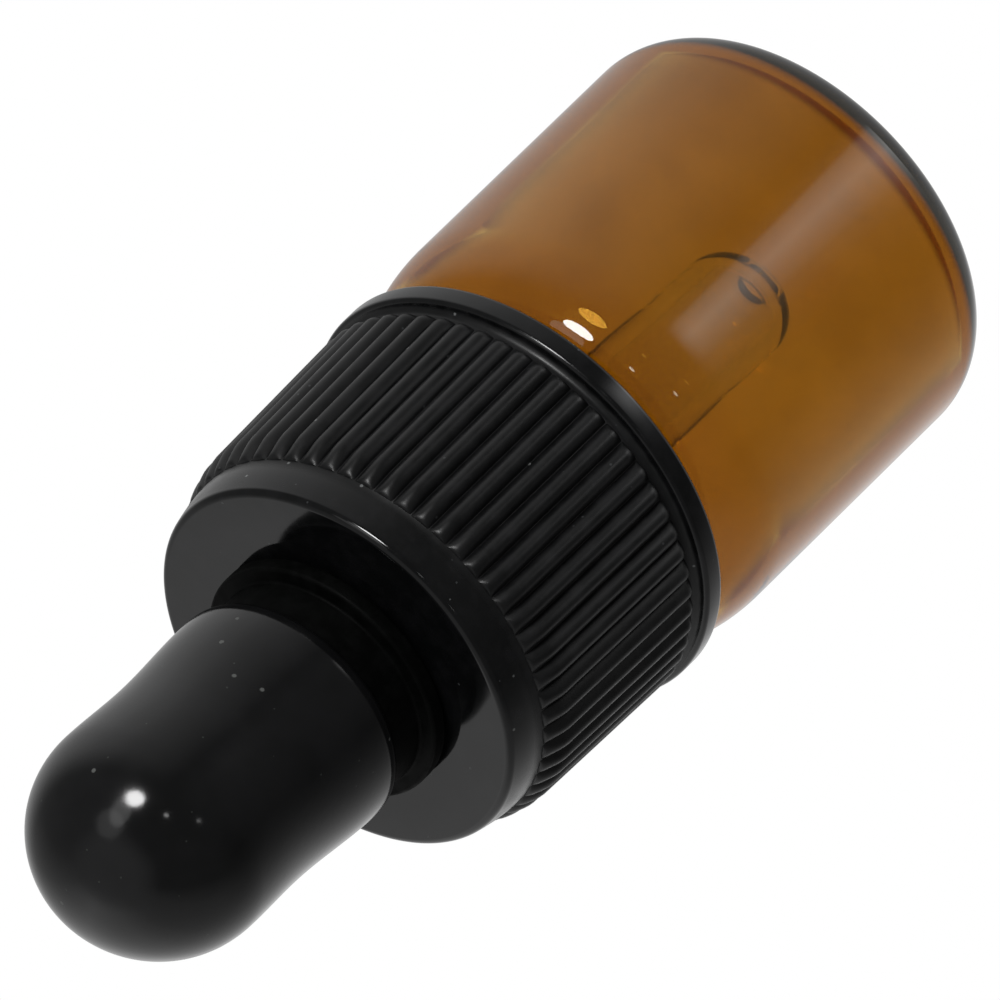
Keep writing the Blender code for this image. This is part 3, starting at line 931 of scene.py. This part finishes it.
def softbox(name, azimuth, elevation, width, height, brightness):
    """An oval light that faces the bottle's middle. All four angles are degrees as seen from there."""
    light = bpy.data.lights.new(name, "AREA")
    light.shape = "ELLIPSE"
    light.size = 2 * LAMP_DISTANCE * math.tan(math.radians(width / 2))
    light.size_y = 2 * LAMP_DISTANCE * math.tan(math.radians(height / 2))
    area = math.pi / 4 * light.size * light.size_y
    light.energy = brightness * math.pi * area
    lamp = bpy.data.objects.new(name, light)
    a, e = math.radians(azimuth), math.radians(elevation)
    aim = Vector((math.cos(a) * math.cos(e), math.sin(a) * math.cos(e), math.sin(e)))
    lamp.location = Vector((0, 0, LAMP_AIM_Z)) + aim * LAMP_DISTANCE
    lamp.rotation_euler = aim.to_track_quat("Z", "Y").to_euler()
    bpy.context.scene.collection.objects.link(lamp)


# How bright the sheen on the table is, by azimuth in degrees
SHEEN = (
    (-122, 0.0), (-112, 0.08), (-105, 0.34), (-99, 1.05), (-93, 1.85), (-88.5, 1.25), (-86, 0.85),
    (-84, 0.12), (-80, 0.0),
)
# Its shape: the radii of its edges and its middle, where it fades out, and its height
SHEEN_RADII = (11.5, 33.0, 62.0)
SHEEN_FADE = (34.0, 60.0)
SHEEN_STEPS = 24
SHEEN_Z = -0.5


def table_sheen():
    """A pale wedge on the table in front, seen only as a mirror image in the bottle."""
    bm = bmesh.new()
    first, last = SHEEN[0][0], SHEEN[-1][0]
    rows = []
    angles = [math.radians(first + (last - first) * i / SHEEN_STEPS) for i in range(SHEEN_STEPS + 1)]
    for r in SHEEN_RADII:
        ring = [Vector((r * math.cos(a), r * math.sin(a), SHEEN_Z)) * MM for a in angles]
        rows.append([bm.verts.new(place) for place in ring])
    for near, far in zip(rows, rows[1:]):
        for i in range(SHEEN_STEPS):
            bm.faces.new((near[i], far[i], far[i + 1], near[i + 1]))
    sheen = piece("table_sheen", bm)
    material = bpy.data.materials.new("table_sheen")
    material.use_nodes = True
    t = Tree(material.node_tree)
    x, y = t.split(t.place())[:2]
    share = (y.math("ARCTAN2", x) * (360 / TAU) - first) / (last - first)
    stops = [((angle - first) / (last - first), (level, level, level)) for angle, level in SHEEN]
    ramp = t.add("ShaderNodeValToRGB", {"stops": stops}, [share])
    fade = ((x * x + y * y) ** 0.5).between(*SHEEN_FADE)
    glow = t.add("ShaderNodeEmission", None, [t.mix(fade, ramp, (0.0, 0.0, 0.0, 1.0)), 1.0])
    clear = t.add("ShaderNodeBsdfTransparent")
    both = t.add("ShaderNodeAddShader", None, [glow, clear])
    end = material.node_tree.nodes["Material Output"]
    material.node_tree.links.new(both.socket, end.inputs["Surface"])
    sheen.data.materials.append(material)
    sheen.visible_camera = False
    sheen.visible_diffuse = False
    sheen.visible_transmission = False
    sheen.visible_shadow = False


# The camera: its focal length in millimetres, its place in metres and its axes
LENS = 1057.45
CAMERA_PLACE = (0.00029442, -1.09544138, 0.78287236)
CAMERA_RIGHT = Vector((-0.69726489, -0.40845924, -0.58905239))
CAMERA_DOWN = Vector((-0.71681355, 0.3973199, 0.57298799))
CAMERA_AHEAD = Vector((0.0, 0.82176514, -0.56982633))


def camera():
    """A long lens above the bottle, turned on its side."""
    lens = bpy.data.cameras.new("camera")
    lens.lens = LENS
    lens.sensor_width = 36.0
    lens.clip_start = 0.05
    lens.clip_end = 50.0
    view = bpy.data.objects.new("camera", lens)
    turn = Matrix((CAMERA_RIGHT, -CAMERA_DOWN, -CAMERA_AHEAD)).transposed().to_4x4()
    view.matrix_world = Matrix.Translation(CAMERA_PLACE) @ turn
    bpy.context.scene.collection.objects.link(view)
    bpy.context.scene.camera = view


studio()
surroundings()
softbox("key", -54, 23, 16, 14, 22.0)
softbox("trail", -47, 38, 17, 26, 1.1)
softbox("upper_trail", -38, 50, 24, 24, 0.5)
softbox("small_lamp", -86, 20, 3, 3, 7.0)
softbox("far_lamp", -108, 2, 3, 2, 5.0)
table_sheen()
camera()

scene = bpy.context.scene
scene.view_settings.view_transform = "Standard"
scene.cycles.max_bounces = 20
scene.cycles.transmission_bounces = 18
scene.cycles.glossy_bounces = 8
